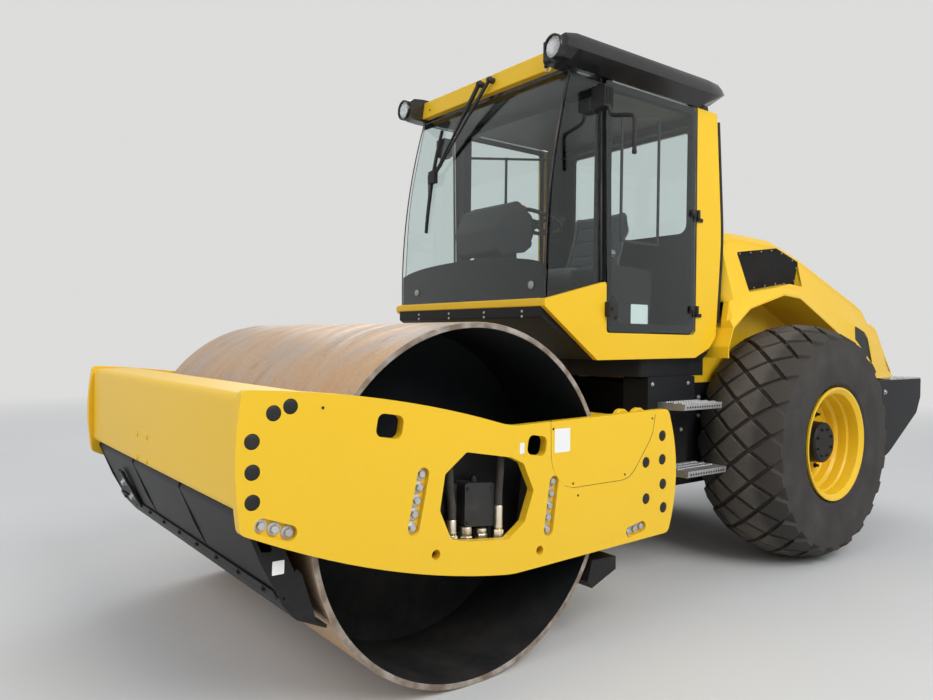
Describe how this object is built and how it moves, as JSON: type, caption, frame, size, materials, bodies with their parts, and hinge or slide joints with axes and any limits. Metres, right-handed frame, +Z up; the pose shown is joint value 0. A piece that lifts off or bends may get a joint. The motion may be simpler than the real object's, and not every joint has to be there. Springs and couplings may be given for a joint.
{
  "type": "articulated single-drum road roller",
  "caption": "Articulated road roller with a smooth steel drum in a yellow plate frame, hollow glazed cab, tilting hood and diamond-tread drive wheels.",
  "frame": {"origin": "on the ground below the middle of the machine's box", "axes": "+X forward towards the drum, +Y to the machine's left, +Z up"},
  "size_m": [5.8726, 2.24, 2.994],
  "materials": {
    "yellow_paint": "satin",
    "black_paint": "satin",
    "dark_plastic": "matte",
    "roof_plastic": "gloss",
    "drum_steel": "worn and lightly rusted",
    "step_steel": "satin",
    "rod_chrome": "polished",
    "tyre_rubber": "matte",
    "block_rubber": "matte",
    "cast_block": "matte",
    "clear_glass": "clear",
    "lamp_glass": "clear",
    "seat_fabric": "matte"
  },
  "bodies": {
    "rear_frame": {"chassis": "black_paint", "pivot_pin": "drum_steel", "rear_axle": "black_paint", "deck": "black_paint", "tanks": "black_paint", "steps": "step_steel", "counterweight": "black_paint", "rear_step": "step_steel", "engine_block": "cast_block", "fenders": "yellow_paint", "cab_side_left": "yellow_paint", "cab_side_right": "yellow_paint", "cab_floor": "black_paint", "cab_posts": "black_paint", "cab_rear": "black_paint", "rear_glass": "clear_glass", "windshield": "clear_glass", "side_glass": "clear_glass", "cab_roof": "roof_plastic", "roof_band": "yellow_paint", "work_lamps": "lamp_glass", "cab_rails": "dark_plastic", "wiper": "dark_plastic", "seat_base": "dark_plastic", "seat_cushion": "seat_fabric", "seat_back": "seat_fabric", "dash_pod": "dark_plastic", "steering_wheel": "dark_plastic", "console": "dark_plastic", "door_pins": "black_paint", "hood_pins": "black_paint"},
    "articulation": {"pivot_yoke": "black_paint"},
    "front_frame": {"side_plate_left": "yellow_paint", "side_plate_right": "yellow_paint", "front_crossbar": "yellow_paint", "rear_crossbar": "yellow_paint", "front_scraper": "black_paint", "rear_scraper": "black_paint", "rubber_blocks": "block_rubber", "drum_carriers": "black_paint", "drum_motors": "cast_block"},
    "drum": {"drum": "drum_steel"},
    "wheel_left": {"tyre_left": "tyre_rubber", "rim_left": "yellow_paint", "hub_left": "black_paint"},
    "wheel_right": {"tyre_right": "tyre_rubber", "rim_right": "yellow_paint", "hub_right": "black_paint"},
    "door_left": {"door_left": "clear_glass", "door_fittings": "dark_plastic"},
    "hood": {"hood": "yellow_paint", "hood_grilles": "dark_plastic"},
    "barrel_left": {"steer_barrel_left": "black_paint"},
    "rod_left": {"steer_rod_left": "rod_chrome"},
    "barrel_right": {"steer_barrel_right": "black_paint"},
    "rod_right": {"steer_rod_right": "rod_chrome"}
  },
  "joints": [
    {"name": "steer", "type": "hinge", "parent": "rear_frame", "child": "articulation", "pos_m": [0.415, 0, 0.75], "axis": [0, 0, 1], "range_deg": [-35, 35]},
    {"name": "oscillate", "type": "hinge", "parent": "articulation", "child": "front_frame", "pos_m": [0.7, 0, 0.75], "axis": [1, 0, 0], "range_deg": [-12, 12]},
    {"name": "drum_roll", "type": "hinge", "parent": "front_frame", "child": "drum", "pos_m": [1.895, 0, 0.75], "axis": [0, 1, 0], "continuous": true},
    {"name": "wheel_left_roll", "type": "hinge", "parent": "rear_frame", "child": "wheel_left", "pos_m": [-1.065, 0.81, 0.776], "axis": [0, 1, 0], "continuous": true},
    {"name": "wheel_right_roll", "type": "hinge", "parent": "rear_frame", "child": "wheel_right", "pos_m": [-1.065, -0.81, 0.776], "axis": [0, 1, 0], "continuous": true},
    {"name": "door_left_swing", "type": "hinge", "parent": "rear_frame", "child": "door_left", "pos_m": [-0.075, 0.712, 2.1], "axis": [0, 0, 1], "range_deg": [0, 95]},
    {"name": "hood_tilt", "type": "hinge", "parent": "rear_frame", "child": "hood", "pos_m": [-2.777, 0, 1.178], "axis": [0, -1, 0], "range_deg": [0, 50]},
    {"name": "steer_barrel_left_swing", "type": "hinge", "parent": "rear_frame", "child": "barrel_left", "pos_m": [-0.145, 0.265, 0.81], "axis": [0, 0, 1], "range_deg": [-4.3, 4.3]},
    {"name": "steer_rod_left_slide", "type": "slide", "parent": "barrel_left", "child": "rod_left", "axis": [0.9972, -0.0744, 0], "range_m": [-0.132, 0.132]},
    {"name": "steer_barrel_right_swing", "type": "hinge", "parent": "rear_frame", "child": "barrel_right", "pos_m": [-0.145, -0.265, 0.81], "axis": [0, 0, 1], "range_deg": [-4.3, 4.3]},
    {"name": "steer_rod_right_slide", "type": "slide", "parent": "barrel_right", "child": "rod_right", "axis": [0.9972, 0.0744, 0], "range_m": [-0.132, 0.132]}
  ],
  "couplings": [
    {"joint": "steer_barrel_left_swing", "follows": "steer", "ratio": 0.11877},
    {"joint": "steer_rod_left_slide", "follows": "steer", "m_per_rad": -0.21347},
    {"joint": "steer_barrel_right_swing", "follows": "steer", "ratio": 0.11877},
    {"joint": "steer_rod_right_slide", "follows": "steer", "m_per_rad": 0.21347}
  ]
}
